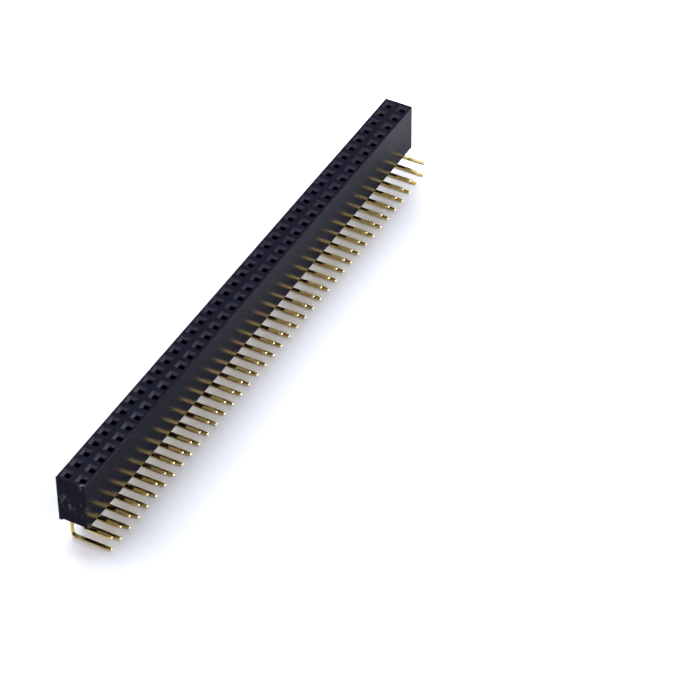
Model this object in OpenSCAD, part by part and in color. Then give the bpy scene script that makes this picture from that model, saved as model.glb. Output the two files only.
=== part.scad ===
// Right-angle female pin header, two rows.
// A black moulded housing holds one sprung fork contact in every socket. Each contact's leg leaves the
// back of the housing and bends forward into a solder tail, so the two rows of tails share one grid.
// The part stands on its lower tails with the sockets facing up.

/* [Layout] */
// Number of sockets in a row
columns = 40; // [2:1:50]
// Spacing of the sockets and the tails, along the rows and across them
pitch = 2.54; // [2:0.01:3.1]

/* [Housing] */
// Width of the housing across the two rows
body_w = 4.9; // [4.6:0.1:7]
// Height of the housing from the feet of its rails to the mating face
body_h = 8.5; // [7:0.1:12]
// Distance from the last socket's centre to the end face
end_margin = 1.45; // [1.2:0.05:3]
// Rounding of the housing's outer edges
edge_r = 0.1; // [0.05:0.01:0.2]
// Width of each rail along the back
rail_w = 0.55; // [0.3:0.05:0.8]
// Height of the rails over the recessed back floor
rail_h = 0.38; // [0.1:0.02:0.8]

/* [Socket] */
// Side of the square mating pin
pin_w = 0.64; // [0.5:0.02:0.7]
// Space round the mating pin on each side
pin_play = 0.09; // [0.05:0.01:0.12]
// Side of the square lead-in at the mating face
funnel_w = 1.64; // [1.2:0.02:1.9]
// Depth of the lead-in
funnel_d = 0.36; // [0.2:0.02:0.6]
// Thickness of the housing over the contact slot, lead-in included
roof_t = 1.2; // [0.8:0.1:2]

/* [Contact] */
// Thickness of the contact strip
strip_t = 0.3; // [0.2:0.01:0.4]
// Width of the legs and the tails
leg_w = 0.64; // [0.4:0.02:0.8]
// Inner radius of the right-angle bend
bend_r = 0.4; // [0.2:0.05:0.5]
// Width of the fork across its base
fork_w = 1.6; // [1.4:0.02:1.7]
// Height of the base of the fork
base_h = 1; // [0.6:0.1:1.5]
// Depth of the base behind the back floor
base_inset = 0.55; // [0.2:0.05:0.8]
// Fillet where the leg meets the base
shoulder_r = 0.25; // [0.1:0.05:0.4]
// How far each retention barb stands out from the base
barb = 0.06; // [0.02:0.01:0.1]
// Space between the tines at their root
root_gap = 0.72; // [0.6:0.02:0.9]
// Squeeze of each tine on the mating pin
squeeze = 0.05; // [0.02:0.01:0.1]
// Radius of the rounded nose on each tine
nose_r = 0.7; // [0.4:0.1:1]
// Distance from the tips of the tines down to the noses
nose_drop = 1; // [0.7:0.1:1.6]
// Width of each tine at its tip
tip_band = 0.24; // [0.15:0.01:0.3]

/* [Tails] */
// Distance from the feet of the rails down to the middle of the upper tails
first_drop = 1.35; // [1:0.05:2]
// Reach of the upper tails beyond the front side of the housing
tail_reach = 3.2; // [2:0.1:6]
// How far the lower tails end behind the upper ones
lower_lag = 0.18; // [0:0.02:0.4]
// Length of the taper at the end of each tail
point_l = 0.8; // [0.4:0.1:1.2]
// Width of the blunt end
point_w = 0.36; // [0.2:0.02:0.4]
// Length of the chamfers above and below the blunt end
chamfer_l = 0.16; // [0.1:0.02:0.3]
// Depth of each of these chamfers
chamfer_t = 0.1; // [0.04:0.01:0.13]

/* [Fits] */
// Clearance between a barb and the end of its slot
barb_fit = 0.02; // [0.01:0.01:0.05]
// Clearance between the faces of a fork and its slot
slot_play = 0.12; // [0.05:0.01:0.15]
// Clearance between the tips of the tines and the roof of the slot
roof_fit = 0.12; // [0.05:0.01:0.3]

/* [Hidden] */
$fn = 48;
// A cut runs this far past the face that it opens
over = 0.5;

body_l = (columns - 1) * pitch + 2 * end_margin;
// The box round the housing and the tails is centred on the origin, so the housing sits back from it
body_y = tail_reach / 2;
front_y = body_y - body_w / 2;
upper_end_y = front_y - tail_reach;
lower_end_y = upper_end_y + lower_lag;

// Heights over the surface that the lower tails stand on
long_tail_z = strip_t / 2;
short_tail_z = long_tail_z + pitch;
rail_z = short_tail_z + first_drop;
floor_z = rail_z + rail_h;
top_z = rail_z + body_h;
base_z = floor_z + base_inset;
root_z = base_z + base_h;
roof_z = top_z - roof_t;
tine_tip_z = roof_z - roof_fit;
nose_z = tine_tip_z - nose_drop;

// The slot fits the fork, and the channel fits the mating pin
slot_w = fork_w + 2 * barb + 2 * barb_fit;
slot_t = strip_t + 2 * slot_play;
channel_w = pin_w + 2 * pin_play;
nose_gap = pin_w - 2 * squeeze;

function column_x(i) = (i - (columns - 1) / 2) * pitch;
// The back row has the long contacts, and the front row has the short ones
back_row_y = body_y + pitch / 2;
front_row_y = body_y - pitch / 2;

function two_digits(n) = str(n < 10 ? "0" : "", n);
function pair_name(i) = str("contact_pair_", two_digits(i + 1));

// ---------- shared shapes ----------

// Extrudes a side view, drawn as [y, z], along X and centred on it
module along_x(length) {
    translate([-length / 2, 0, 0]) rotate([90, 0, 90]) linear_extrude(length) children();
}

// Extrudes a front view, drawn as [x, z], along Y and centred on it
module along_y(length) {
    translate([0, length / 2, 0]) rotate([90, 0, 0]) linear_extrude(length) children();
}

// A rectangle with round corners, from its lowest corner
module rounded_rect(size, r) {
    translate([r, 0]) square([size[0] - 2 * r, size[1]]);
    translate([0, r]) square([size[0], size[1] - 2 * r]);
    for (x = [r, size[0] - r], y = [r, size[1] - r]) translate([x, y]) circle(r);
}

// A rectangle that is round at its lower right corner only
module corner_plate(left, right, low, high, r) {
    translate([left, low + r]) square([right - left, high - low - r]);
    translate([left, low]) square([right - r - left, high - low]);
    translate([right - r, low + r]) circle(r);
}

// ---------- housing ----------

// The moulded block, with every outer edge rounded
module body_block() {
    intersection() {
        along_x(body_l) translate([front_y, rail_z]) rounded_rect([body_w, body_h], edge_r);
        translate([0, body_y, 0])
            along_y(body_w) translate([-body_l / 2, rail_z]) rounded_rect([body_l, body_h], edge_r);
        translate([-body_l / 2, front_y, rail_z])
            linear_extrude(body_h) rounded_rect([body_l, body_w], edge_r);
    }
}

// The channel between the two back rails
module back_recess() {
    translate([-body_l / 2 - over, front_y + rail_w, rail_z - over])
        cube([body_l + 2 * over, body_w - 2 * rail_w, rail_h + over]);
}

// One view of the square lead-in, which is as wide as the pin channel at its bottom
module funnel_view() {
    slope = (funnel_w - channel_w) / 2 / funnel_d;
    rise = edge_r;
    polygon([
        [-channel_w / 2, top_z - funnel_d],
        [channel_w / 2, top_z - funnel_d],
        [funnel_w / 2 + slope * rise, top_z + rise],
        [-funnel_w / 2 - slope * rise, top_z + rise]
    ]);
}

// The space of one socket: the lead-in, the pin channel and the slot that the fork is pushed into
module socket_space() {
    intersection() {
        along_x(2 * funnel_w) funnel_view();
        along_y(2 * funnel_w) funnel_view();
    }
    translate([-channel_w / 2, -channel_w / 2, root_z])
        cube([channel_w, channel_w, top_z - funnel_d / 2 - root_z]);
    translate([-slot_w / 2, -slot_t / 2, floor_z - over])
        cube([slot_w, slot_t, roof_z - floor_z + over]);
}

module housing() {
    color([0.1, 0.1, 0.12])
    difference() {
        body_block();
        back_recess();
        for (i = [0 : columns - 1], y = [back_row_y, front_row_y])
            translate([column_x(i), y, 0]) socket_space();
    }
}

// ---------- contacts ----------

// Half of the fork's front view, for x > 0: base, barbs and one tine
module half_fork_view() {
    tine_outer = fork_w / 2;
    tip_outer = nose_gap / 2 + squeeze + tip_band + (root_gap - nose_gap) / 2;
    difference() {
        union() {
            polygon([
                [0, base_z],
                [tine_outer, base_z],
                [tine_outer, root_z],
                [tip_outer, tine_tip_z],
                [tip_outer - tip_band, tine_tip_z],
                [root_gap / 2, nose_z],
                [root_gap / 2, root_z],
                [0, root_z]
            ]);
            nose();
            barbs();
            shoulder();
        }
        translate([0, root_z]) circle(root_gap / 2);
    }
}

// The rounded nose that presses on the mating pin, kept inside the tine
module nose() {
    intersection() {
        translate([nose_gap / 2 + nose_r, nose_z]) circle(nose_r);
        translate([nose_gap / 2, root_z]) square([(root_gap - nose_gap) / 2 + tip_band / 2, tine_tip_z - root_z]);
    }
}

// Two saw-tooth barbs that grip the end of the slot
module barbs() {
    tooth_h = base_h / 3;
    for (k = [0, 1])
        translate([fork_w / 2, base_z + base_h / 6 + k * tooth_h])
            polygon([[-barb, 0], [barb, 0], [0, tooth_h], [-barb, tooth_h]]);
}

// The fillet between the leg and the base
module shoulder() {
    difference() {
        translate([0, base_z - shoulder_r]) square([leg_w / 2 + shoulder_r, shoulder_r]);
        translate([leg_w / 2 + shoulder_r, base_z - shoulder_r]) circle(shoulder_r);
    }
}

// The flat sprung fork, on the plane of its leg
module fork() {
    along_y(strip_t) {
        half_fork_view();
        mirror([1, 0]) half_fork_view();
    }
}

// A taper with a flat end at x = 0, for a side view or a plan view of a tail
module taper_view(length, full, blunt) {
    polygon([[0, -blunt / 2], [length, -full / 2], [length, full / 2], [0, blunt / 2]]);
}

// Side view of the bent strip, from the base of the fork round to the end of the tail
module bent_strip_view(row_y, tail_z, end_y) {
    tail_start = end_y + chamfer_l;
    difference() {
        corner_plate(tail_start, row_y + strip_t / 2, tail_z - strip_t / 2, base_z + over, bend_r + strip_t);
        corner_plate(tail_start - over, row_y - strip_t / 2, tail_z + strip_t / 2, base_z + 2 * over, bend_r);
    }
    translate([end_y, tail_z]) taper_view(chamfer_l, strip_t, strip_t - 2 * chamfer_t);
}

// Plan view of the leg and its tail
module strip_plan(row_y, end_y) {
    tail_start = end_y + point_l;
    translate([-leg_w / 2, tail_start]) square([leg_w, row_y + strip_t - tail_start]);
    translate([0, end_y]) rotate(90) taper_view(point_l, leg_w, point_w);
}

// One whole contact, stamped from strip: fork, leg, bend, tail and tapered end
module contact(row_y, tail_z, end_y) {
    translate([0, row_y, 0]) fork();
    intersection() {
        along_x(leg_w) bent_strip_view(row_y, tail_z, end_y);
        linear_extrude(top_z) strip_plan(row_y, end_y);
    }
}

// The two contacts of one column: a long one in the back row and a short one in the front row
module contact_pair(i) {
    color([0.86, 0.74, 0.44])
    translate([column_x(i), 0, 0]) {
        contact(back_row_y, long_tail_z, lower_end_y);
        contact(front_row_y, short_tail_z, upper_end_y);
    }
}

// ---------- nodes ----------

housing();
for (i = [0 : columns - 1]) {
    contact_pair(i);
}
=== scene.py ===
"""Right-angle female pin header, two rows of forty sockets.

A black moulded housing holds one gold-plated fork contact in every socket. Each contact's leg
leaves the back of the housing and bends forward into a solder tail. The pieces are modelled in
millimetres, in the place that the CAD boxes give, and brought to metres when they are finished.
"""

from __future__ import annotations

import logging
import math
import random
from dataclasses import dataclass, field
from enum import Enum
from functools import partial, reduce
from typing import Any, ClassVar

import bmesh
import bpy
from mathutils import Matrix, Vector


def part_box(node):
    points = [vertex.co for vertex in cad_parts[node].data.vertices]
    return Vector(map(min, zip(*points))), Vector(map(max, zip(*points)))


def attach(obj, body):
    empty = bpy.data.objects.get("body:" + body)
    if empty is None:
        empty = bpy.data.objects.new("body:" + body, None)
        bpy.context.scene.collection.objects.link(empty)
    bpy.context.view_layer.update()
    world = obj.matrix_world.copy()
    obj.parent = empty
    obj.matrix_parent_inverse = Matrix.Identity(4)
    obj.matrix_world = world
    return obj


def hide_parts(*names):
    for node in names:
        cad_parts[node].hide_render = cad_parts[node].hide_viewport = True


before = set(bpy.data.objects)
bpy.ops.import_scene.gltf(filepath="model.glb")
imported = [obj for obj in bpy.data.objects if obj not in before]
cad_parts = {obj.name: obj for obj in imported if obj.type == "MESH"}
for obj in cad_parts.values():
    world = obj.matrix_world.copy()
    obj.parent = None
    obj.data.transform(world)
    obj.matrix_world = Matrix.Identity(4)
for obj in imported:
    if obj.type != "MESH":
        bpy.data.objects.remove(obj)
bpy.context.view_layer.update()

LOG = logging.getLogger("pin_header")
BODY = "root"
MM = 0.001
# Two places closer than this are the same place, in millimetres
NEAR = 1e-4
# Thickness of the contact strip, in millimetres
STRIP_T = 0.3
OPEN = (-math.inf, math.inf)
Span = tuple[float, float]
Point = tuple[float, float, float]
Colour = tuple[float, float, float, float]
Socket = bpy.types.NodeSocket


# ---------- modelling ----------


class Part(Enum):
    """What a pick takes hold of."""

    EDGES = "EDGE"
    FACES = "FACE"


class Axis(Enum):
    """The axes of the row frame."""

    X = 0
    Y = 1
    Z = 2


def at(place: float) -> Span:
    """Return the span that holds one place only."""
    return (place, place)


def about(middle: float, half: float) -> Span:
    """Return the span that reaches half to each side of a middle."""
    return (middle - half, middle + half)


@dataclass(frozen=True)
class Region:
    """A box that faces or edges lie in, in millimetres, open on the sides that aren't given."""

    x: Span = OPEN
    y: Span = OPEN
    z: Span = OPEN

    def holds(self, part: bmesh.types.BMFace | bmesh.types.BMEdge) -> bool:
        """Tell whether a whole face or edge lies in the box.

        Args:
            part: The face or edge.

        Returns:
            True if each of its corners is in the box.
        """
        spans = (self.x, self.y, self.z)
        return all(
            low - NEAR <= corner.co[axis] <= high + NEAR
            for corner in part.verts
            for axis, (low, high) in enumerate(spans)
        )


class Workpiece:
    """A mesh that the modelling operators shape, with its faces and edges picked by place."""

    def __init__(self, name: str) -> None:
        """Take over the object that an operator has just added.

        Args:
            name: The name of the object and of its mesh.
        """
        self.obj = bpy.context.object
        self.obj.name = self.obj.data.name = name
        bpy.ops.object.transform_apply(location=True, rotation=True, scale=True)

    @classmethod
    def block(cls, name: str, x: Span, y: Span, z: Span) -> Workpiece:
        """Add a block.

        Args:
            name: Its name.
            x: Its span along X.
            y: Its span along Y.
            z: Its span along Z.

        Returns:
            The block.
        """
        bpy.ops.object.select_all(action="DESELECT")
        bpy.ops.mesh.primitive_cube_add(
            size=1.0,
            location=[sum(span) / 2 for span in (x, y, z)],
            scale=[span[1] - span[0] for span in (x, y, z)],
        )
        return cls(name)

    @classmethod
    def plate(cls, name: str, x: Span, y: Span, z: float) -> Workpiece:
        """Add a flat plate that faces up.

        Args:
            name: Its name.
            x: Its span along X.
            y: Its span along Y.
            z: Its height.

        Returns:
            The plate.
        """
        bpy.ops.object.select_all(action="DESELECT")
        bpy.ops.mesh.primitive_plane_add(size=1.0, location=[sum(x) / 2, sum(y) / 2, z])
        bpy.context.object.scale = (x[1] - x[0], y[1] - y[0], 1.0)
        return cls(name)

    def hold(self) -> None:
        """Select the object alone and make it the active one."""
        bpy.ops.object.select_all(action="DESELECT")
        self.obj.select_set(True)
        bpy.context.view_layer.objects.active = self.obj

    def __enter__(self) -> Workpiece:
        """Put the mesh in edit mode, alone.

        Returns:
            The piece.
        """
        self.hold()
        bpy.ops.object.mode_set(mode="EDIT")
        return self

    def __exit__(self, *_: object) -> None:
        """Go back to object mode."""
        bpy.ops.object.mode_set(mode="OBJECT")

    def pick(self, part: Part, *regions: Region, rim: bool = False) -> None:
        """Select the faces or edges that lie in the regions, and nothing else.

        Args:
            part: Whether faces or edges are picked.
            regions: The boxes to pick in.
            rim: Whether only edges with a single face are picked.
        """
        bpy.ops.mesh.select_mode(type=part.value)
        bpy.ops.mesh.select_all(action="DESELECT")
        mesh = bmesh.from_edit_mesh(self.obj.data)
        for item in mesh.faces if part is Part.FACES else mesh.edges:
            held = any(region.holds(item) for region in regions)
            if held and (not rim or item.is_boundary):
                item.select_set(True)
        bmesh.update_edit_mesh(self.obj.data)

    def picked_box(self) -> tuple[Vector, Vector]:
        """Measure what is selected.

        Returns:
            Its lowest and its highest corner.
        """
        mesh = bmesh.from_edit_mesh(self.obj.data)
        places = [vertex.co for vertex in mesh.verts if vertex.select]
        return (
            Vector(min(place[axis] for place in places) for axis in range(3)),
            Vector(max(place[axis] for place in places) for axis in range(3)),
        )

    def score(self, region: Region, axis: Axis, *places: float) -> None:
        """Cut the faces of a region along planes square to an axis.

        Args:
            region: The box that holds the faces.
            axis: The axis that the cuts are square to.
            places: Where the cuts cross the axis.
        """
        normal = [float(axis.value == k) for k in range(3)]
        for place in places:
            self.pick(Part.FACES, region)
            bpy.ops.mesh.bisect(
                plane_co=[place * part for part in normal], plane_no=normal, threshold=NEAR
            )

    def extrude(self, offset: Point) -> None:
        """Extrude what is selected by an offset."""
        bpy.ops.mesh.extrude_region_move(TRANSFORM_OT_translate={"value": offset})

    def draw_to(self, x: Span, y: Span, z: Span) -> None:
        """Extrude what is selected and fit the new end to a box.

        Args:
            x: The span of the end along X.
            y: The span of the end along Y.
            z: The span of the end along Z.
        """
        self.extrude((0.0, 0.0, 0.0))
        low, high = self.picked_box()
        centre = (low + high) / 2
        sides = [end - start for start, end in zip(low, high)]
        bpy.ops.transform.resize(
            value=[
                (end - start) / side if side > NEAR else 1.0
                for side, (start, end) in zip(sides, (x, y, z))
            ],
            center_override=centre,
        )
        bpy.ops.transform.translate(
            value=[sum(span) / 2 - middle for middle, span in zip(centre, (x, y, z))]
        )

    def turn(self, angle_deg: float, axis: Axis, centre: Point) -> None:
        """Turn what is selected, by the right-hand rule.

        Args:
            angle_deg: The angle.
            axis: The axis it turns about.
            centre: A place on that axis.
        """
        bpy.ops.transform.rotate(
            value=-math.radians(angle_deg), orient_axis=axis.name, center_override=centre
        )

    def bevel(self, width: float, steps: int) -> None:
        """Round the selected edges.

        Args:
            width: How far the round reaches onto each face.
            steps: How many faces make the round.
        """
        bpy.ops.mesh.bevel(
            offset_type="OFFSET", offset=width, segments=steps, profile=0.5, affect="EDGES",
            clamp_overlap=False, loop_slide=True,
        )

    def drop(self, *regions: Region) -> None:
        """Delete the faces that lie in the regions."""
        self.pick(Part.FACES, *regions)
        bpy.ops.mesh.delete(type="FACE")

    def merge(self) -> None:
        """Join corners that share a place, and turn the faces outwards."""
        bpy.ops.mesh.select_all(action="SELECT")
        bpy.ops.mesh.remove_doubles(threshold=NEAR)
        bpy.ops.mesh.normals_make_consistent(inside=False)

    def modify(self, kind: str, **settings: Any) -> None:
        """Add a modifier and apply it.

        Args:
            kind: The modifier's type.
            settings: Its settings by name.
        """
        modifier = self.obj.modifiers.new(kind.title(), kind)
        for name, value in settings.items():
            setattr(modifier, name, value)
        self.hold()
        bpy.ops.object.modifier_apply(modifier=modifier.name)

    def smooth(self, angle_deg: float) -> None:
        """Shade rounds smooth and flats flat.

        Args:
            angle_deg: The sharpest angle between two faces that still looks round.
        """
        self.hold()
        bpy.ops.object.shade_smooth_by_angle(angle=math.radians(angle_deg))
        self.modify("WEIGHTED_NORMAL", mode="FACE_AREA", weight=80, keep_sharp=True)

    def copy_to(self, name: str, x: float) -> Workpiece:
        """Copy the piece, mesh included, to a column.

        Args:
            name: The copy's name.
            x: How far along X it goes.

        Returns:
            The copy.
        """
        self.hold()
        bpy.ops.object.duplicate(linked=False)
        bpy.context.object.location.x = x
        return Workpiece(name)

    def finish(self, slot: Slot, material: bpy.types.Material, *nodes: str) -> None:
        """Bring the piece to metres, dress it and let it stand for its CAD nodes.

        Args:
            slot: The record's material slot. It is not used.
            material: The finish.
            nodes: The CAD nodes that it stands for.
        """
        self.hold()
        self.obj.scale = (MM, MM, MM)
        bpy.ops.object.transform_apply(location=True, rotation=True, scale=True)
        self.obj.data.materials.clear()
        self.obj.data.materials.append(material)
        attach(self.obj, BODY)
        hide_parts(*nodes)
        count = len(self.obj.data.polygons)
        LOG.info("%s: %d faces, for %s", self.obj.name, count, ", ".join(nodes))


# ---------- finishes ----------


class Slot(Enum):
    """The record's material slots."""

    PLASTIC = "black_plastic"
    PLATE = "gold_plate"


# The Mix node lists its sockets for every data type, so the colour ones go by number
MIX_A, MIX_B, MIX_OUT = 6, 7, 2
# Most of a noise lies between these values
NOISE_RANGE: Span = (0.3, 0.7)
# The height that a bump of 1 stands for, in metres
BUMP_DEPTH = 0.00001


class Tree:
    """A node tree that nodes are placed in and joined up."""

    def __init__(self, tree: bpy.types.NodeTree) -> None:
        """Empty a tree and take it over."""
        self.tree = tree
        tree.nodes.clear()

    @classmethod
    def of_material(cls, name: str) -> tuple[bpy.types.Material, Tree]:
        """Start a material.

        Args:
            name: Its name.

        Returns:
            The material and its tree.
        """
        made = bpy.data.materials.new(name)
        made.use_nodes = True
        return made, cls(made.node_tree)

    def place(
        self, kind: str, feeds: dict[str | int, Any] | None = None, **settings: Any
    ) -> bpy.types.Node:
        """Add a node.

        Args:
            kind: The node's type.
            feeds: A value, or the socket to join, for each input.
            settings: The node's own settings by name.

        Returns:
            The node.
        """
        node = self.tree.nodes.new(kind)
        for name, value in settings.items():
            setattr(node, name, value)
        for key, value in (feeds or {}).items():
            if isinstance(value, Socket):
                self.tree.links.new(value, node.inputs[key])
            else:
                node.inputs[key].default_value = value
        return node

    def object_place(self) -> Socket:
        """Return the place on the object, in metres."""
        return self.place("ShaderNodeTexCoord").outputs["Object"]

    def math(self, operation: str, *values: Any, clamp: bool = False) -> Socket:
        """Place a Math node and return its result."""
        settings = {"operation": operation, "use_clamp": clamp}
        return self.place("ShaderNodeMath", dict(enumerate(values)), **settings).outputs[0]

    def product(self, *values: Any) -> Socket:
        """Multiply the values in their order and return the result."""
        return reduce(partial(self.math, "MULTIPLY"), values)

    def total(self, *values: Any) -> Socket:
        """Add the values in their order and return the result."""
        return reduce(partial(self.math, "ADD"), values)

    def vector(self, operation: str, *values: Any, gives: str = "Vector") -> Socket:
        """Place a Vector Math node and return one of its two outputs."""
        feeds = dict(enumerate(values))
        return self.place("ShaderNodeVectorMath", feeds, operation=operation).outputs[gives]

    def share(self, vector: Socket, axis: Axis) -> Socket:
        """Return what a vector has along an axis."""
        return self.place("ShaderNodeSeparateXYZ", {0: vector}).outputs[axis.name]

    def ramp(self, value: Any, low: Any, high: float, to: Span = (0.0, 1.0)) -> Socket:
        """Place a smooth Map Range node and return its result.

        Args:
            value: The socket to map.
            low: The value that gives the first end.
            high: The value that gives the second end.
            to: The two ends.

        Returns:
            The mapped socket.
        """
        node = self.place(
            "ShaderNodeMapRange",
            {"Value": value, "From Min": low, "From Max": high, "To Min": to[0], "To Max": to[1]},
            interpolation_type="SMOOTHSTEP",
        )
        return node.outputs["Result"]

    def noise(self, vector: Any, scale: Any, detail: float = 3.0, rough: float = 0.5) -> Socket:
        """Place a noise texture and return its value.

        Args:
            vector: The place that it is read at.
            scale: How fine it is.
            detail: How many finer layers lie over it.
            rough: How strong the finer layers are.

        Returns:
            The value, from 0 to 1.
        """
        node = self.place(
            "ShaderNodeTexNoise",
            {"Vector": vector, "Scale": scale, "Detail": detail, "Roughness": rough},
        )
        return node.outputs["Fac"]

    def blend(self, factor: Any, first: Any, second: Any) -> Socket:
        """Place a colour mix and return its colour.

        Args:
            factor: How much of the second colour shows.
            first: The first colour.
            second: The second colour.

        Returns:
            The mixed colour.
        """
        node = self.place(
            "ShaderNodeMix", {0: factor, MIX_A: first, MIX_B: second}, data_type="RGBA"
        )
        return node.outputs[MIX_OUT]

    def layers(self, colour: Socket, *coats: tuple[Socket, Colour]) -> Socket:
        """Lay coats over a colour.

        Args:
            colour: The colour at the bottom.
            coats: Each coat's mask, which is 1 where it covers, and its colour.

        Returns:
            The colour that shows.
        """
        for mask, coat in coats:
            colour = self.blend(mask, colour, coat)
        return colour

    def surface(self, shader: bpy.types.Node) -> None:
        """Give the material its surface."""
        self.place("ShaderNodeOutputMaterial", {"Surface": shader.outputs[0]})


@dataclass(frozen=True)
class Effect:
    """A shader effect that the finishes share, built once as a node group.

    Attributes:
        name: The group's name.
        inputs: The group's inputs and their usual values; a vector has None.
        outputs: The group's outputs.
    """

    name: str
    inputs: dict[str, float | None]
    outputs: tuple[str, ...]

    def group(self) -> bpy.types.NodeTree:
        """Find the node group, or build it the first time.

        Returns:
            The node group.
        """
        found = bpy.data.node_groups.get(self.name)
        if found:
            return found
        made = bpy.data.node_groups.new(self.name, "ShaderNodeTree")
        for name, usual in self.inputs.items():
            kind = "NodeSocketVector" if usual is None else "NodeSocketFloat"
            socket = made.interface.new_socket(name=name, in_out="INPUT", socket_type=kind)
            if usual is not None:
                socket.default_value = usual
        for name in self.outputs:
            made.interface.new_socket(name=name, in_out="OUTPUT", socket_type="NodeSocketFloat")
        tree = Tree(made)
        source = tree.place("NodeGroupInput")
        results = self.wire(tree, source.outputs)
        tree.place("NodeGroupOutput", dict(zip(self.outputs, results)))
        return made

    def wire(self, tree: Tree, given: Any) -> tuple[Socket, ...]:
        """Place the effect's nodes.

        Args:
            tree: The group's tree.
            given: The group's inputs by name.

        Returns:
            A socket for each output.
        """
        raise NotImplementedError

    def use(self, tree: Tree, **feeds: Any) -> Any:
        """Place the effect in a material.

        Args:
            tree: The material's tree.
            feeds: The inputs that differ from their usual values.

        Returns:
            The outputs of the group's node.
        """
        return tree.place("ShaderNodeGroup", feeds, node_tree=self.group()).outputs


class FineGrain(Effect):
    """Fine irregular grain."""

    # The coarse noise's scale, as a share of the fine one's
    coarse: ClassVar[float] = 0.13

    def wire(self, tree: Tree, given: Any) -> tuple[Socket, ...]:
        """Lay a fine noise over a coarse one.

        Args:
            tree: The group's tree.
            given: The group's inputs by name.

        Returns:
            The fine noise and the coarse one.
        """
        where, scale = given["Vector"], given["Scale"]
        fine = tree.noise(where, scale, detail=4.0, rough=0.6)
        return fine, tree.noise(where, tree.product(scale, self.coarse), detail=2.0)


class DrawLines(Effect):
    """Fine lines drawn along one direction by a tool or a mould."""

    # A line comes up between these values of the noise
    rise: ClassVar[Span] = (0.56, 0.72)

    def wire(self, tree: Tree, given: Any) -> tuple[Socket, ...]:
        """Stretch a noise along Z and keep its strongest lines.

        Args:
            tree: The group's tree.
            given: The group's inputs by name.

        Returns:
            The stretched noise and its lines.
        """
        scales = {0: given["Across"], 1: given["Across"], 2: given["Along"]}
        stretch = tree.place("ShaderNodeCombineXYZ", scales).outputs[0]
        value = tree.noise(tree.vector("MULTIPLY", given["Vector"], stretch), 1.0, rough=0.65)
        return value, tree.ramp(value, *self.rise)


class Specks(Effect):
    """Sparse small specks, as of dust."""

    # The radius of the smallest speck, as a share of Size
    least: ClassVar[float] = 0.35

    def wire(self, tree: Tree, given: Any) -> tuple[Socket, ...]:
        """Keep the middles of a few cells.

        Args:
            tree: The group's tree.
            given: The group's inputs by name.

        Returns:
            1 on a speck.
        """
        cells = tree.place(
            "ShaderNodeTexVoronoi", {"Vector": given["Vector"], "Scale": given["Scale"]}
        ).outputs
        lot = tree.place("ShaderNodeSeparateColor", {0: cells["Color"]}).outputs
        chosen = tree.math("LESS_THAN", lot[0], given["Share"])
        size = tree.product(given["Size"], tree.total(lot[1], self.least))
        return (tree.product(chosen, tree.math("LESS_THAN", cells["Distance"], size)),)


class WornEdge(Effect):
    """The rub along edges that stand out."""

    # How alike the rounded surface and the true one are where an edge starts and where it is full
    alike: ClassVar[Span] = (0.995, 0.86)
    # The rub comes up between these values of the noise
    rise: ClassVar[Span] = (0.40, 0.62)

    def wire(self, tree: Tree, given: Any) -> tuple[Socket, ...]:
        """Compare the surface with its rounded self, and break the edge up with noise.

        Args:
            tree: The group's tree.
            given: The group's inputs by name.

        Returns:
            The whole edge and its worn stretches.
        """
        rounded = tree.place("ShaderNodeBevel", {"Radius": given["Radius"]}, samples=6).outputs[0]
        true = tree.place("ShaderNodeNewGeometry").outputs["Normal"]
        edge = tree.ramp(tree.vector("DOT_PRODUCT", rounded, true, gives="Value"), *self.alike)
        broken = tree.ramp(tree.noise(given["Vector"], given["Scale"], rough=0.6), *self.rise)
        return edge, tree.product(edge, broken)


class Patch(Effect):
    """A soft ball of surface round a place."""

    # The patch comes up between these shares of its reach
    rise: ClassVar[Span] = (1.0, 0.35)

    def wire(self, tree: Tree, given: Any) -> tuple[Socket, ...]:
        """Fade from the place outwards.

        Args:
            tree: The group's tree.
            given: The group's inputs by name.

        Returns:
            1 at the place and 0 past its reach.
        """
        away = tree.vector("DISTANCE", given["Vector"], given["Place"], gives="Value")
        return (tree.ramp(tree.math("DIVIDE", away, given["Reach"]), *self.rise),)


class Slope(Effect):
    """The faces that slope, apart inside a box and along its long sides."""

    # How far the normal rises where a slope parts from an upright face and from a level one
    upright: ClassVar[Span] = (0.2, 0.25)
    level: ClassVar[Span] = (0.99, 0.98)
    # The rim ends between these distances in from a side, in metres
    margin: ClassVar[Span] = (0.00012, 0.00018)

    def wire(self, tree: Tree, given: Any) -> tuple[Socket, ...]:
        """Keep the slopes, and part them by how far in from the sides they lie.

        Args:
            tree: The group's tree.
            given: The group's inputs by name.

        Returns:
            The slopes inside the box and the ones along its rim.
        """
        normal = tree.place("ShaderNodeNewGeometry").outputs["True Normal"]
        rise = tree.share(normal, Axis.Z)
        slope = tree.product(tree.ramp(rise, *self.upright), tree.ramp(rise, *self.level))
        out = tree.vector("ABSOLUTE", tree.vector("SUBTRACT", given["Vector"], given["Middle"]))
        depth = tree.vector("SUBTRACT", given["Half"], out)
        from_end, from_side = tree.share(depth, Axis.X), tree.share(depth, Axis.Y)
        inside = tree.ramp(tree.math("MINIMUM", from_end, from_side), *self.margin)
        rim = tree.math("SUBTRACT", 1.0, tree.ramp(from_side, *self.margin))
        return tree.product(slope, inside), tree.product(slope, rim)


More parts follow.
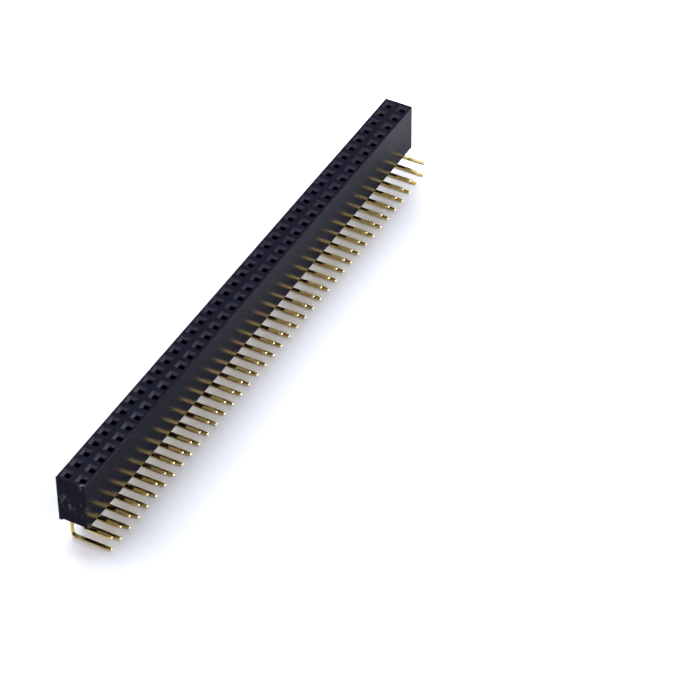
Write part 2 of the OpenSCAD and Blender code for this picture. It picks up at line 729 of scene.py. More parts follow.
GRAIN = FineGrain("fine_grain", {"Vector": None, "Scale": 4000.0}, ("Fine", "Coarse"))
LINES = DrawLines(
    "draw_lines", {"Vector": None, "Across": 4000.0, "Along": 120.0}, ("Value", "Lines")
)
SPECKS = Specks(
    "specks", {"Vector": None, "Scale": 600.0, "Share": 0.02, "Size": 0.06}, ("Mask",)
)
EDGE = WornEdge(
    "worn_edge", {"Vector": None, "Radius": 0.00012, "Scale": 900.0}, ("Edge", "Worn")
)
SLOPE = Slope("slope", {"Vector": None, "Middle": None, "Half": None}, ("Inside", "Rim"))
PATCH = Patch("patch", {"Vector": None, "Place": None, "Reach": 0.002}, ("Mask",))


@dataclass(frozen=True)
class MouldedPlastic:
    """Black moulded plastic, slightly blue, with draw lines up its sides and a rubbed end."""

    name: str = "moulded_black_plastic"
    black: Colour = (0.0078, 0.0078, 0.0170, 1.0)
    haze: Colour = (0.0108, 0.0108, 0.0215, 1.0)
    # The haze comes up between these values of the coarse grain
    haze_rise: Span = (0.35, 0.75)
    rub: Colour = (0.34, 0.34, 0.36, 1.0)
    dust: Colour = (0.16, 0.13, 0.11, 1.0)
    # The roughness that the draw lines run between, and what a full rub adds to it
    roughness: Span = (0.177, 0.195)
    rub_roughness: float = 0.3
    specular: float = 0.0225
    # The lead-ins, which the mould leaves polished, and their share of gloss
    polished: Colour = (0.0020, 0.0020, 0.0045, 1.0)
    lead_in_gloss: float = 0.8
    # Handling has polished the outer rounds near one end only: their share of gloss away from it
    # and at it, and the places along X that it comes up between
    round_gloss: Span = (0.02, 0.16)
    round_reach: Span = (-0.031, -0.042)
    gloss_roughness: float = 0.11
    gloss_ior: float = 1.9
    # The middle of the moulding and half its size, in metres
    middle: Point = (0.0, 0.0, 0.0)
    half: Point = (0.05, 0.002, 0.004)
    # How strongly a worn edge shows
    edge_rub: float = 0.06
    # Each rubbed place: its middle, its reach in metres and its strength
    rubs: tuple[tuple[Point, float, float], ...] = ()
    # The scuffs in these places: how they are stretched, and the noise that they come up between
    scuff_stretch: Point = (1.0, 1.0, 0.45)
    scuff_rise: Span = (0.48, 0.70)
    # How far the grain, the draw lines and the broad streaks stand out, for 1 of BUMP_DEPTH
    grain_depth: float = 0.009
    line_depth: float = 0.01
    streak_depth: float = 0.25

    def material(self) -> bpy.types.Material:
        """Build the finish.

        Returns:
            The material.
        """
        made, tree = Tree.of_material(self.name)
        where = tree.object_place()
        grain = GRAIN.use(tree, Vector=where, Scale=5200.0)
        lines = LINES.use(tree, Vector=where, Across=3600.0, Along=90.0)
        streaks = LINES.use(tree, Vector=where, Across=240.0, Along=8.0)
        specks = SPECKS.use(tree, Vector=where, Scale=420.0, Share=0.04, Size=0.045)
        slope = SLOPE.use(tree, Vector=where, Middle=self.middle, Half=self.half)
        marks = self._marks(tree, where)
        colour = tree.layers(
            tree.blend(tree.ramp(grain["Coarse"], *self.haze_rise), self.black, self.haze),
            (slope["Inside"], self.polished),
            (marks, self.rub),
            (specks["Mask"], self.dust),
        )
        rough = tree.ramp(lines["Value"], *NOISE_RANGE, self.roughness)
        rough = tree.math("ADD", rough, tree.product(marks, self.rub_roughness), clamp=True)
        polish = tree.ramp(tree.share(where, Axis.X), *self.round_reach, self.round_gloss)
        gloss = tree.total(
            tree.product(slope["Inside"], self.lead_in_gloss), tree.product(slope["Rim"], polish)
        )
        height = tree.total(
            tree.product(grain["Fine"], self.grain_depth),
            tree.product(lines["Lines"], self.line_depth),
            tree.product(streaks["Value"], self.streak_depth),
        )
        bump = tree.place("ShaderNodeBump", {"Distance": BUMP_DEPTH, "Height": height})
        shader = tree.place(
            "ShaderNodeBsdfPrincipled",
            {
                "Base Color": colour,
                "Roughness": rough,
                "Specular IOR Level": self.specular,
                "Coat Weight": gloss,
                "Coat Roughness": self.gloss_roughness,
                "Coat IOR": self.gloss_ior,
                "Normal": bump.outputs[0],
            },
        )
        tree.surface(shader)
        return made

    def _marks(self, tree: Tree, where: Socket) -> Socket:
        """Place the worn edges and the scuffs.

        Args:
            tree: The material's tree.
            where: The place on the object.

        Returns:
            How far the plastic is rubbed.
        """
        edge = EDGE.use(tree, Vector=where, Radius=0.00010, Scale=1100.0)
        marks = tree.product(edge["Worn"], self.edge_rub)
        smear = tree.vector("MULTIPLY", where, self.scuff_stretch)
        scuff = tree.ramp(tree.noise(smear, 1500.0, detail=5.0, rough=0.72), *self.scuff_rise)
        for place, reach, strength in self.rubs:
            patch = PATCH.use(tree, Vector=where, Place=place, Reach=reach)
            rubbed = tree.product(patch["Mask"], scuff, strength)
            marks = tree.math("MAXIMUM", marks, rubbed)
        return marks


@dataclass(frozen=True)
class GoldPlate:
    """Thin pale gold over stamped spring strip."""

    name: str = "gold_plated_strip"
    gold: Colour = (0.83, 0.655, 0.275, 1.0)
    deep: Colour = (0.76, 0.565, 0.20, 1.0)
    # The deeper tone comes up between these values of a noise
    deep_rise: Span = (0.42, 0.66)
    # How far an edge goes back to the paler gold
    edge_gold: float = 0.5
    # The tail ends are painted a paler gold: partly a painted highlight for the bright tips,
    # partly the bare metal of the end, which is sheared after it is plated. The place of the end
    # along Y, and the distances from it where the pale colour starts and is full, in metres
    bare_and_highlight: Colour = (0.88, 0.745, 0.37, 1.0)
    tip: float = 0.0
    bare_highlight_away: Span = (0.00040, 0.00016)
    # Painted shade: the upper side of a long contact by its bend and along its tail under the
    # housing is darkened to a dull brown and made rougher. The place of the leg along Y, and the
    # distances from it where this starts and is full
    bend_shade: Colour = (0.20, 0.145, 0.055, 1.0)
    leg: float = 0.0
    bend_shade_away: Span = (-0.0017, -0.0011)
    # A side counts as an upper one between these rises of its normal
    upper: Span = (0.0, 0.1)
    roughness: Span = (0.13, 0.24)
    bend_roughness: float = 0.42
    # How strongly the grain stands out, for 1 of BUMP_DEPTH
    grain_depth: float = 0.025

    def material(self) -> bpy.types.Material:
        """Build the finish.

        Returns:
            The material.
        """
        made, tree = Tree.of_material(self.name)
        where = tree.object_place()
        grain = GRAIN.use(tree, Vector=where, Scale=3800.0)
        edge = EDGE.use(tree, Vector=where, Radius=0.00006, Scale=1500.0)
        tone = tree.noise(where, 420.0, detail=2.0)
        along = tree.share(where, Axis.Y)
        # Painted highlight, partly real bare metal: the tail ends turn a paler gold
        bare_highlight = tree.ramp(along, *(self.tip + away for away in self.bare_highlight_away))
        normal = tree.place("ShaderNodeNewGeometry").outputs["Normal"]
        # Where the painted shade lies: upper sides by the bend and under the housing, also made
        # rougher
        bend = tree.product(
            tree.ramp(tree.share(normal, Axis.Z), *self.upper),
            tree.ramp(along, *(self.leg + away for away in self.bend_shade_away)),
        )
        colour = tree.layers(
            tree.blend(tree.ramp(tone, *self.deep_rise), self.gold, self.deep),
            (tree.product(edge["Edge"], self.edge_gold), self.gold),
            # the paler tail ends: painted highlight, and partly the bare sheared metal
            (bare_highlight, self.bare_and_highlight),
            # painted shade on the bend
            (bend, self.bend_shade),
        )
        rough = tree.ramp(grain["Coarse"], *NOISE_RANGE, self.roughness)
        rough = tree.math("MAXIMUM", rough, tree.product(bend, self.bend_roughness))
        feeds = {"Strength": self.grain_depth, "Distance": BUMP_DEPTH, "Height": grain["Fine"]}
        bump = tree.place("ShaderNodeBump", feeds)
        shader = tree.place(
            "ShaderNodeBsdfPrincipled",
            {"Base Color": colour, "Metallic": 1.0, "Roughness": rough, "Normal": bump.outputs[0]},
        )
        tree.surface(shader)
        return made


# ---------- the header ----------


@dataclass(frozen=True)
class Layout:
    """Where the CAD model puts the housing and the contacts, in millimetres."""

    columns: int
    pitch: float
    length: float
    front: float
    back: float
    foot: float
    top: float
    tail_end: float
    back_row: float

    @classmethod
    def from_frame(cls) -> Layout:
        """Read the places from the CAD boxes.

        Returns:
            The layout.
        """
        pairs = sorted(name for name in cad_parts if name.startswith("contact_pair_"))
        low, high = (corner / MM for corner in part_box("housing"))
        first_low, first_high = (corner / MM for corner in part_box(pairs[0]))
        last_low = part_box(pairs[-1])[0] / MM
        return cls(
            columns=len(pairs),
            pitch=(last_low.x - first_low.x) / (len(pairs) - 1),
            length=high.x - low.x,
            front=low.y,
            back=high.y,
            foot=low.z,
            top=high.z,
            tail_end=first_low.y,
            back_row=first_high.y - STRIP_T / 2,
        )

    @property
    def rows(self) -> tuple[float, float]:
        """The places of the back row and the front row along Y."""
        return (self.back_row, self.back_row - self.pitch)

    def column(self, number: int) -> float:
        """Return the place of a column along X, counted from 0."""
        return (number - (self.columns - 1) / 2) * self.pitch


@dataclass
class Housing:
    """The moulded housing: one column of sockets is modelled, repeated and closed at both ends."""

    layout: Layout
    finish: MouldedPlastic
    rail_w: float = 0.55
    rail_h: float = 0.38
    channel_w: float = 0.82
    funnel_w: float = 1.64
    funnel_d: float = 0.36
    slot_w: float = 1.76
    slot_t: float = 0.54
    roof_t: float = 1.2
    # Height of the pin channel's lower end over the back floor
    root_h: float = 1.55
    outer_round: float = 0.1
    inner_round: float = 0.02
    # The sharpest angle between two faces that still looks round
    smooth_deg: float = 35.0

    def build(self) -> None:
        """Model the housing and let it stand for its CAD node."""
        cell = self._cell()
        plan = self.layout
        cell.modify(
            "ARRAY",
            count=plan.columns,
            use_relative_offset=False,
            use_constant_offset=True,
            constant_offset_displace=(plan.pitch, 0.0, 0.0),
            use_merge_vertices=True,
            merge_threshold=NEAR,
        )
        with cell:
            bpy.ops.mesh.select_all(action="SELECT")
            bpy.ops.transform.translate(value=(plan.column(0), 0.0, 0.0))
            self._close_end(cell, -1)
            self._close_end(cell, 1)
            cell.merge()
            self._round_edges(cell)
        cell.smooth(self.smooth_deg)
        cell.finish(Slot.PLASTIC, self.finish.material(), "housing")

    @property
    def _floor(self) -> float:
        """The height of the recessed back floor."""
        return self.layout.foot + self.rail_h

    @property
    def _recess(self) -> Span:
        """The room between the rails along Y."""
        return (self.layout.front + self.rail_w, self.layout.back - self.rail_w)

    def _cell(self) -> Workpiece:
        """Model one column of the housing, open on the sides where its neighbours join.

        Returns:
            The column.
        """
        plan = self.layout
        half = plan.pitch / 2
        cell = Workpiece.block(
            "moulding", about(0, half), (plan.front, plan.back), (plan.foot, plan.top)
        )
        recess = self._recess
        with cell:
            # The recess between the two rails
            cell.score(Region(z=at(plan.foot)), Axis.Y, *recess)
            cell.pick(Part.FACES, Region(y=recess, z=at(plan.foot)))
            cell.extrude((0.0, 0.0, self.rail_h))
            for row in plan.rows:
                self._cut_slot_mouth(cell, row)
            for row in plan.rows:
                self._cut_socket(cell, row)
            cell.drop(Region(x=at(-half)), Region(x=at(half)))
            cell.merge()
            self._round_mouths(cell)
        return cell

    def _slot(self, row: float, z: Span) -> Region:
        """Return the room of a row's contact slot between two heights."""
        return Region(about(0, self.slot_w / 2), about(row, self.slot_t / 2), z)

    def _channel(self, row: float, z: Span) -> Region:
        """Return the room of a row's pin channel between two heights."""
        return Region(about(0, self.channel_w / 2), about(row, self.channel_w / 2), z)

    def _cut_slot_mouth(self, cell: Workpiece, row: float) -> None:
        """Open the mouth of a row's contact slot in the back floor.

        Args:
            cell: The column that is being modelled.
            row: The row's place along Y.
        """
        depth = about(row, self.slot_t / 2)
        cell.score(Region(z=at(self._floor)), Axis.Y, *depth)
        strip = Region(y=depth, z=at(self._floor))
        cell.score(strip, Axis.X, *about(0, self.slot_w / 2), *about(0, self.channel_w / 2))
        cell.drop(self._slot(row, at(self._floor)))

    def _cut_socket(self, cell: Workpiece, row: float) -> None:
        """Sink a row's socket from the mating face through to the back floor.

        Args:
            cell: The column that is being modelled.
            row: The row's place along Y.
        """
        plan = self.layout
        roof = plan.top - self.roof_t
        root = self._floor + self.root_h
        mouth = Region(about(0, self.funnel_w / 2), about(row, self.funnel_w / 2), at(plan.top))
        cell.score(Region(z=at(plan.top)), Axis.Y, *mouth.y)
        cell.score(Region(y=mouth.y, z=at(plan.top)), Axis.X, *mouth.x)
        # The lead-in, the pin channel over the roof and the pin channel under it
        cell.pick(Part.FACES, mouth)
        half = self.channel_w / 2
        for z in (plan.top - self.funnel_d, roof, root):
            cell.draw_to(about(0, half), about(row, half), at(z))
        # The slot spreads to both sides of the channel under the roof
        cell.score(self._channel(row, (root, roof)), Axis.Y, *about(row, self.slot_t / 2))
        for side in (-1, 1):
            wall = Region(at(side * half), about(row, self.slot_t / 2), (root, roof))
            cell.pick(Part.FACES, wall)
            cell.extrude((side * (self.slot_w - self.channel_w) / 2, 0.0, 0.0))
        # and runs down to the back floor
        cell.pick(Part.FACES, self._slot(row, at(root)))
        cell.extrude((0.0, 0.0, self._floor - root))
        cell.drop(self._slot(row, at(self._floor)))

    def _round_mouths(self, cell: Workpiece) -> None:
        """Break the edges of the slots' mouths.

        Args:
            cell: The column that is being modelled.
        """
        for row in self.layout.rows:
            cell.pick(Part.EDGES, self._slot(row, at(self._floor)))
            cell.bevel(self.inner_round, steps=1)

    def _close_end(self, cell: Workpiece, side: int) -> None:
        """Draw one open end out to the end face and close it.

        Args:
            cell: The row of joined columns.
            side: -1 for the end at low X and 1 for the other.
        """
        plan = self.layout
        rim = side * plan.columns * plan.pitch / 2
        end = side * plan.length / 2
        cell.pick(Part.EDGES, Region(x=at(rim)), rim=True)
        cell.extrude((end - rim, 0.0, 0.0))
        bpy.ops.mesh.edge_face_add()

    def _round_edges(self, cell: Workpiece) -> None:
        """Round the outer edges, then the edges of the recess.

        Args:
            cell: The row of joined columns, closed at both ends.
        """
        plan = self.layout
        ends = (-plan.length / 2, plan.length / 2)
        sides, heights = (plan.front, plan.back), (plan.foot, plan.top)
        cell.pick(
            Part.EDGES,
            *(Region(y=at(y), z=at(z)) for y in sides for z in heights),
            *(Region(x=at(x), z=at(z)) for x in ends for z in heights),
            *(Region(x=at(x), y=at(y)) for x in ends for y in sides),
        )
        cell.bevel(self.outer_round, steps=3)
        cell.pick(
            Part.EDGES,
            *(Region(y=at(y), z=at(z)) for y in self._recess for z in (plan.foot, self._floor)),
        )
        cell.bevel(self.inner_round, steps=2)


class Row(Enum):
    """The two rows of contacts, by how many pitches their tails stand over the lower tails."""

    LONG = 0
    SHORT = 1


@dataclass
class Contacts:
    """The fork contacts: one of each row is modelled, then copied to every column."""

    layout: Layout
    finish: GoldPlate
    strip_t: float = STRIP_T
    leg_w: float = 0.64
    bend_r: float = 0.4
    bend_steps: int = 6
    fork_w: float = 1.6
    # Height of the base's underside over the feet of the rails
    base_z: float = 0.93
    base_h: float = 1.0
    shoulder_r: float = 0.25
    # Heights of the fillet's outline over its start, up to its radius
    shoulder_steps: tuple[float, ...] = (0.0, 0.13, 0.21)
    barb: float = 0.06
    # How far the undersides of the base and of the barbs rise outwards
    ledge: float = 0.02
    root_gap: float = 0.72
    # Half of the flat that the round root between the tines keeps
    root_flat: float = 0.01
    nose_gap: float = 0.54
    nose_r: float = 0.7
    # Heights of the nose's outline over its middle
    nose_steps: tuple[float, ...] = (-0.34, -0.2, 0.0, 0.2, 0.36)
    nose_drop: float = 1.0
    tip_outer: float = 0.65
    tip_band: float = 0.24
    # Depth of the tips of the tines under the mating face
    tip_drop: float = 1.32
    point_l: float = 0.8
    point_w: float = 0.36
    chamfer_l: float = 0.16
    chamfer_t: float = 0.1
    point_break: float = 0.02
    lower_lag: float = 0.18
    corner: float = 0.04
    corner_steps: int = 3
    # The sharpest angle between two faces that still looks round
    smooth_deg: float = 31.0
    # How far a tail may stand off its true line, in degrees, and the length that this needs
    spread_deg: float = 0.25
    play: float = 0.003
    seed: int = 7
    _draw: random.Random = field(init=False, repr=False)

    def __post_init__(self) -> None:
        """Start the row of random draws."""
        self._draw = random.Random(self.seed)

    def build(self) -> None:
        """Model both kinds of contact and stand one of each in every column."""
        material = self.finish.material()
        for row, place in zip(Row, self.layout.rows):
            model = self._model(row, place)
            for number in range(self.layout.columns):
                name = f"contact_{row.name.lower()}_{number + 1:02d}"
                x = self.layout.column(number)
                copy = model.copy_to(name, x)
                self._settle(copy, row, x, place)
                copy.finish(Slot.PLATE, material, f"contact_pair_{number + 1:02d}")
            bpy.data.objects.remove(model.obj)

    def _tail_z(self, row: Row) -> float:
        """Return the height of the middle of a row's tails."""
        return self.strip_t / 2 + row.value * self.layout.pitch

    @property
    def _turn(self) -> float:
        """The radius of the bend at the middle of the strip."""
        return self.bend_r + self.strip_t / 2

    def _model(self, row: Row, place: float) -> Workpiece:
        """Model one contact on the middle of its row.

        Args:
            row: The row.
            place: The row's place along Y.

        Returns:
            The contact.
        """
        bend_z = self._tail_z(row) + self._turn
        name = f"contact_{row.name.lower()}"
        depth = about(place, self.strip_t / 2)
        contact = Workpiece.plate(name, about(0, self.leg_w / 2), depth, bend_z)
        with contact:
            # Stamped strip has slightly rolled corners
            bpy.ops.mesh.select_mode(type="VERT")
            bpy.ops.mesh.select_all(action="SELECT")
            bpy.ops.mesh.bevel(
                offset_type="OFFSET",
                offset=self.corner,
                segments=self.corner_steps,
                affect="VERTICES",
            )
            self._raise_fork(contact, place, bend_z)
            contact.pick(Part.FACES, Region(z=at(bend_z)))
            bpy.ops.mesh.spin(
                steps=self.bend_steps,
                angle=math.pi / 2,
                center=(0.0, place - self._turn, bend_z),
                axis=(1.0, 0.0, 0.0),
            )
            self._draw_tail(contact, row)
            contact.merge()
        contact.smooth(self.smooth_deg)
        return contact

    def _raise_fork(self, contact: Workpiece, place: float, bend_z: float) -> None:
        """Draw the leg up into the base and the two tines.

        Args:
            contact: The contact, with its section at the top of the bend.
            place: The row's place along Y.
            bend_z: The height of the section.
        """
        depth = about(place, self.strip_t / 2)
        base = self.layout.foot + self.base_z
        split = base + self.base_h - self.root_gap / 2
        contact.pick(Part.FACES, Region(z=at(bend_z)))
        for z, half in self._base_outline(base, split):
            contact.draw_to(about(0, half), depth, at(z))
        contact.score(Region(z=at(split)), Axis.X, *about(0, self.root_gap / 2))
        for side in (-1, 1):
            reach = sorted((side * self.root_gap / 2, side * self.fork_w))
            contact.pick(Part.FACES, Region(x=tuple(reach), z=at(split)))
            for z, inner, outer in self._tine_outline(base, split):
                contact.draw_to(tuple(sorted((side * inner, side * outer))), depth, at(z))
        contact.pick(
            Part.EDGES, *(Region(x=at(x), z=at(split)) for x in about(0, self.root_gap / 2))
        )
        contact.bevel(self.root_gap / 2 - self.root_flat, steps=4)

    def _base_outline(self, base: float, split: float) -> list[tuple[float, float]]:
        """Return the heights and half widths from the leg up to where the tines part.

        Args:
            base: The height of the underside of the base.
            split: The height where the tines part.

        Returns:
            Pairs of height and half width.
        """
        tooth = self.base_h / 3
        first = base + self.base_h / 6
        half, wide, ledge = self.fork_w / 2, self.fork_w / 2 + self.barb, self.ledge
        curve_x, curve_z = self.leg_w / 2 + self.shoulder_r, base - self.shoulder_r
        fillet = [
            (curve_z + rise, curve_x - math.sqrt(self.shoulder_r**2 - rise**2))
            for rise in (*self.shoulder_steps, self.shoulder_r)
        ]
        left = 1 - (split - first - tooth) / tooth
        return fillet + [
            (base + ledge, half),
            (first, half),
            (first + ledge, wide),
            (first + tooth, half),
            (first + tooth + ledge, wide),
            (split, half + self.barb * left),
        ]

    def _tine_outline(self, base: float, split: float) -> list[tuple[float, float, float]]:
        """Return the heights with the inner and the outer edge of a tine.

        Args:
            base: The height of the underside of the base.
            split: The height where the tines part.

        Returns:
            Height, inner edge and outer edge from the base to the tip.
        """
        root = base + self.base_h
        tip = self.layout.top - self.tip_drop
        nose = tip - self.nose_drop
        inner, half = self.root_gap / 2, self.fork_w / 2
        rows = [(base + self.base_h * 5 / 6, inner, half), (root, inner, half)]
        for rise in self.nose_steps:
            bulge = self.nose_gap / 2 + self.nose_r - math.sqrt(self.nose_r**2 - rise**2)
            rows.append((nose + rise, min(bulge, inner), self._outer(nose + rise, root, tip)))
        rows.append((tip, self.tip_outer - self.tip_band, self.tip_outer))
        return [row for row in rows if row[0] > split]

    def _outer(self, z: float, root: float, tip: float) -> float:
        """Return a tine's outer edge at a height between its root and its tip."""
        half = self.fork_w / 2
        return half - (half - self.tip_outer) * (z - root) / (tip - root)

    def _draw_tail(self, contact: Workpiece, row: Row) -> None:
        """Draw the bent end out into the tail and taper it to its blunt point.

        Args:
            contact: The contact, with the end of its bend selected.
            row: The row.
        """
        z = self._tail_z(row)
        end = self.layout.tail_end + self.play + (self.lower_lag if row is Row.LONG else 0.0)
        slant = (self.leg_w - self.point_w) / self.point_l
        slope = self.chamfer_t / self.chamfer_l
        blunt_t = self.strip_t - 2 * self.chamfer_t + 2 * slope * self.point_break
        for away, width, thick in (
            (self.point_l, self.leg_w, self.strip_t),
            (self.chamfer_l, self.point_w + slant * self.chamfer_l, self.strip_t),
            (self.point_break, self.point_w + slant * self.point_break, blunt_t),
            (0.0, self.point_w - self.point_break, blunt_t - 2 * self.point_break),
        ):
            contact.draw_to(about(0, width / 2), at(end + away), about(z, thick / 2))

    def _settle(self, copy: Workpiece, row: Row, x: float, place: float) -> None:
        """Turn a copy's tail by a hair, as bending leaves it.

        Args:
            copy: The copy, in its column.
            row: The row.
            x: The column's place along X.
            place: The row's place along Y.
        """
        # A long tail may only rise, because the part stands on these
        rise = self._draw.uniform(0.0 if row is Row.LONG else -self.spread_deg, self.spread_deg)
        swing = self._draw.uniform(-self.spread_deg, self.spread_deg)
        heel = (x, place - self._turn, self._tail_z(row))
        with copy:
            copy.pick(Part.FACES, Region(y=(-math.inf, place - self._turn)))
            copy.turn(-rise, Axis.X, heel)
            copy.turn(swing, Axis.Z, heel)


# ---------- studio ----------


@dataclass(frozen=True)
class Softbox:
    """A soft rectangular lamp that looks at the header.

    Attributes:
        name: Its name.
        towards: The direction from the header to the lamp.
        away: Its distance, in metres.
        width: Its width, in metres.
        height: Its height, in metres.
        glow: How bright its face is; white paper in full light is 1.
        tint: The colour of its light.
    """

    name: str
    towards: Point
    away: float
    width: float
    height: float
    glow: float
    tint: tuple[float, float, float] = (1.0, 1.0, 1.0)

    def place(self, target: Vector) -> None:
        """Add the lamp.

        Args:
            target: The place that it looks at.
        """
        direction = Vector(self.towards).normalized()
        bpy.ops.object.light_add(type="AREA", location=target + direction * self.away)
        lamp = bpy.context.object
        lamp.name = self.name
        lamp.rotation_euler = direction.to_track_quat("Z", "Y").to_euler()
        lamp.data.shape = "RECTANGLE"
        lamp.data.size, lamp.data.size_y = self.width, self.height
        lamp.data.energy = self.glow * math.pi * self.width * self.height
        lamp.data.color = self.tint


@dataclass(frozen=True)
class Studio:
    """The pale floor, the even surroundings, the lamps and the camera."""

    layout: Layout
    floor_side: float = 6.0
    floor_white: Colour = (0.88, 0.88, 0.89, 1.0)
    # The floor's own light: its least strength, then for each rise the places along X that it lies
    # between, its strengths there, and where it starts in a gloss. The first rise is only in front
    # of the tails. The light is warm by the tails and turns cool in front of them, between two
    # places along Y, and by the far ones, between two along X
    lift_least: float = 0.12
    lift_rises: tuple[tuple[Span, Span, float], ...] = (
        ((-0.030, 0.010), (0.01, 0.085), -0.030),
        ((0.038, 0.060), (0.0, 0.92), 0.0485),
        ((-0.044, -0.053), (0.0, 0.16), -0.044),
    )
    lift_warm: Colour = (1.03, 0.965, 0.86, 1.0)
    lift_cool: Colour = (0.93, 0.97, 1.08, 1.0)
    lift_turn: Span = (-0.0015, -0.0060)
    lift_far: Span = (0.028, 0.042)
    # The paper's sheen, which only a gloss shows, as the front side of the housing does: where it
    # comes up along Y and along X, and its strength
    sheen_ahead: Span = (-0.0045, -0.0085)
    sheen_along: Span = (-0.020, 0.012)
    sheen: float = 0.56
    # The floor clears to plain white between these distances from the header, in metres
    floor_fade: Span = (0.080, 0.16)
    # The light all round, level with the floor and overhead, and the rise that parts them
    level_light: Colour = (0.90, 0.93, 1.00, 1.0)
    high_light: Colour = (0.15, 0.17, 0.23, 1.0)
    high_rise: Span = (0.0, 0.15)
    lamps: tuple[Softbox, ...] = (
        Softbox("lamp_behind", (0.18, 0.46, 0.87), 0.8, 0.55, 0.55, 6.6, (0.95, 0.98, 1.08)),
        Softbox("lamp_left", (-0.55, 0.35, 0.75), 1.0, 0.60, 0.60, 0.36, (0.78, 0.68, 1.00)),
        Softbox("lamp_right", (0.632, -0.402, 0.662), 0.9, 0.24, 0.29, 11.0, (1.00, 0.94, 0.84)),
        Softbox("lamp_low", (0.63, -0.63, 0.46), 0.8, 0.42, 0.26, 0.26, (0.66, 0.60, 1.00)),
        Softbox("lamp_low_left", (0.48, -0.74, 0.47), 0.9, 0.34, 0.28, 0.45, (0.76, 0.86, 1.00)),
        Softbox("backdrop_panel", (0.72, 0.34, 0.61), 0.9, 0.62, 0.62, 0.85),
    )
    # The camera, from the middle of the mating face: its turn round the part, its height over the
    # horizon and its tilt in degrees, its distance and its two offsets in millimetres, its lens,
    # and the distances that it sees between, in metres
    turn_deg: float = -61.300
    height_deg: float = 41.711
    tilt_deg: float = -0.452
    away: float = 502.489
    across: float = -16.173
    upward: float = 10.822
    lens: float = 167.42
    clip: Span = (0.01, 20.0)

    def build(self) -> None:
        """Set up everything that isn't the header."""
        self._lay_floor()
        self._surround()
        target = Vector((0.0, 0.0, self.layout.top * MM / 2))
        for lamp in self.lamps:
            lamp.place(target)
        self._aim_camera()
        bpy.context.scene.view_settings.view_transform = "Standard"

    def _lay_floor(self) -> None:
        """Lay a pale floor that keeps the shadow and clears to white away from the header."""
        bpy.ops.object.select_all(action="DESELECT")
        bpy.ops.mesh.primitive_plane_add(size=self.floor_side)
        floor = bpy.context.object
        floor.name = "floor"
        made, tree = Tree.of_material("floor_paper")
        where = tree.object_place()
        path = tree.place("ShaderNodeLightPath").outputs
        # Rays that show the background, as seen, in a gloss or through glass
        shows = tree.math("MAXIMUM", path["Is Camera Ray"], path["Is Glossy Ray"])
        shows = tree.math("MAXIMUM", shows, path["Is Transmission Ray"])
        tint, strength = self._own_light(tree, where, shows, path["Is Glossy Ray"])
        paper = tree.place("ShaderNodeBsdfDiffuse", {"Color": self.floor_white})
        lift = tree.place("ShaderNodeEmission", {"Color": tint, "Strength": strength})
        lit = tree.place("ShaderNodeAddShader", {0: paper.outputs[0], 1: lift.outputs[0]})
        white = tree.place("ShaderNodeEmission", {"Strength": 1.0})
        away = tree.vector("LENGTH", where, gives="Value")
        fade = tree.product(shows, tree.ramp(away, *self.floor_fade))
        top = tree.place("ShaderNodeMixShader", {0: fade, 1: lit.outputs[0], 2: white.outputs[0]})
        clear = tree.place("ShaderNodeBsdfTransparent").outputs[0]
        under = tree.place("ShaderNodeNewGeometry").outputs["Backfacing"]
        both = tree.place("ShaderNodeMixShader", {0: under, 1: top.outputs[0], 2: clear})
        tree.surface(both)
        floor.data.materials.append(made)

    def _own_light(
        self, tree: Tree, where: Socket, shows: Socket, in_gloss: Socket
    ) -> tuple[Socket, Socket]:
        """Place the nodes of the floor's own light.

        Args:
            tree: The floor's tree.
            where: The place on the floor.
            shows: 1 for a ray that shows the background.
            in_gloss: 1 for a ray that shows it in a gloss.

        Returns:
            The colour of the light and its strength.
        """
        along, out = tree.share(where, Axis.X), tree.share(where, Axis.Y)
        rises = []
        for (start, full), gains, gloss_start in self.lift_rises:
            begin = tree.math("MULTIPLY_ADD", in_gloss, gloss_start - start, start)
            rises.append(tree.ramp(along, begin, full, gains))
        ahead = tree.ramp(out, *self.lift_turn)
        strength = tree.total(tree.product(ahead, rises[0]), self.lift_least, *rises[1:])
        sheen = tree.product(
            in_gloss,
            tree.ramp(out, *self.sheen_ahead),
            tree.ramp(along, *self.sheen_along, (0.0, self.sheen)),
        )
        cool = tree.math("MAXIMUM", ahead, tree.ramp(along, *self.lift_far))
        tint = tree.blend(cool, self.lift_warm, self.lift_cool)
        return tint, tree.total(tree.product(shows, strength), sheen)

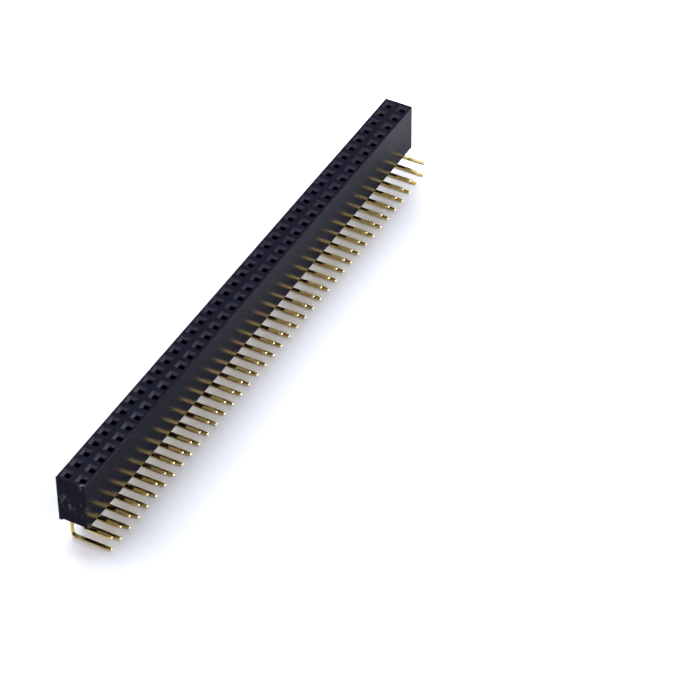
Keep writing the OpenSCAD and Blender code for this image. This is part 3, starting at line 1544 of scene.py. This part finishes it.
    def _surround(self) -> None:
        """Surround the header with light, white level with the floor and dimmer overhead."""
        world = bpy.data.worlds.new("studio")
        bpy.context.scene.world = world
        world.use_nodes = True
        tree = Tree(world.node_tree)
        rise = tree.share(tree.place("ShaderNodeTexCoord").outputs["Generated"], Axis.Z)
        colour = tree.blend(tree.ramp(rise, *self.high_rise), self.level_light, self.high_light)
        around = tree.place("ShaderNodeBackground", {"Color": colour})
        tree.place("ShaderNodeOutputWorld", {"Surface": around.outputs[0]})

    def _aim_camera(self) -> None:
        """Place the camera."""
        plan = self.layout
        turn, height, tilt = map(math.radians, (self.turn_deg, self.height_deg, self.tilt_deg))
        out = math.cos(height)
        back = Vector((math.sin(turn) * out, -math.cos(turn) * out, math.sin(height)))
        level = Vector((math.cos(turn), math.sin(turn), 0.0))
        rise = back.cross(level)
        right = level * math.cos(tilt) + rise * math.sin(tilt)
        up = rise * math.cos(tilt) - level * math.sin(tilt)
        middle = Vector((0.0, (plan.front + plan.back) / 2, plan.top))
        eye = middle + back * self.away - right * self.across - up * self.upward
        bpy.ops.object.camera_add()
        camera = bpy.context.object
        camera.data.lens = self.lens
        camera.data.clip_start, camera.data.clip_end = self.clip
        axes = Matrix((right, up, back)).transposed().to_4x4()
        camera.matrix_world = Matrix.Translation(eye * MM) @ axes
        bpy.context.scene.camera = camera


def main() -> None:
    """Build the header and the studio round it."""
    logging.basicConfig(level=logging.INFO, format="%(name)s %(message)s")
    layout = Layout.from_frame()
    low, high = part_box("housing")
    end = -layout.length / 2 * MM
    # The worn corner and the two scuffs of the end at low X: the place of each along Y and up Z in
    # millimetres, its reach in metres and its strength
    marks = (
        (layout.front, layout.top, 0.0012, 0.9),
        (2.3, 8.4, 0.0019, 0.42),
        (0.2, 7.6, 0.0020, 0.38),
    )
    plastic = MouldedPlastic(
        middle=tuple((low + high) / 2),
        half=tuple((high - low) / 2),
        rubs=tuple(((end, y * MM, z * MM), reach, share) for y, z, reach, share in marks),
    )
    Housing(layout, plastic).build()
    gold = GoldPlate(tip=layout.tail_end * MM, leg=layout.back_row * MM)
    Contacts(layout, gold).build()
    Studio(layout).build()


if __name__ == "__main__":
    main()
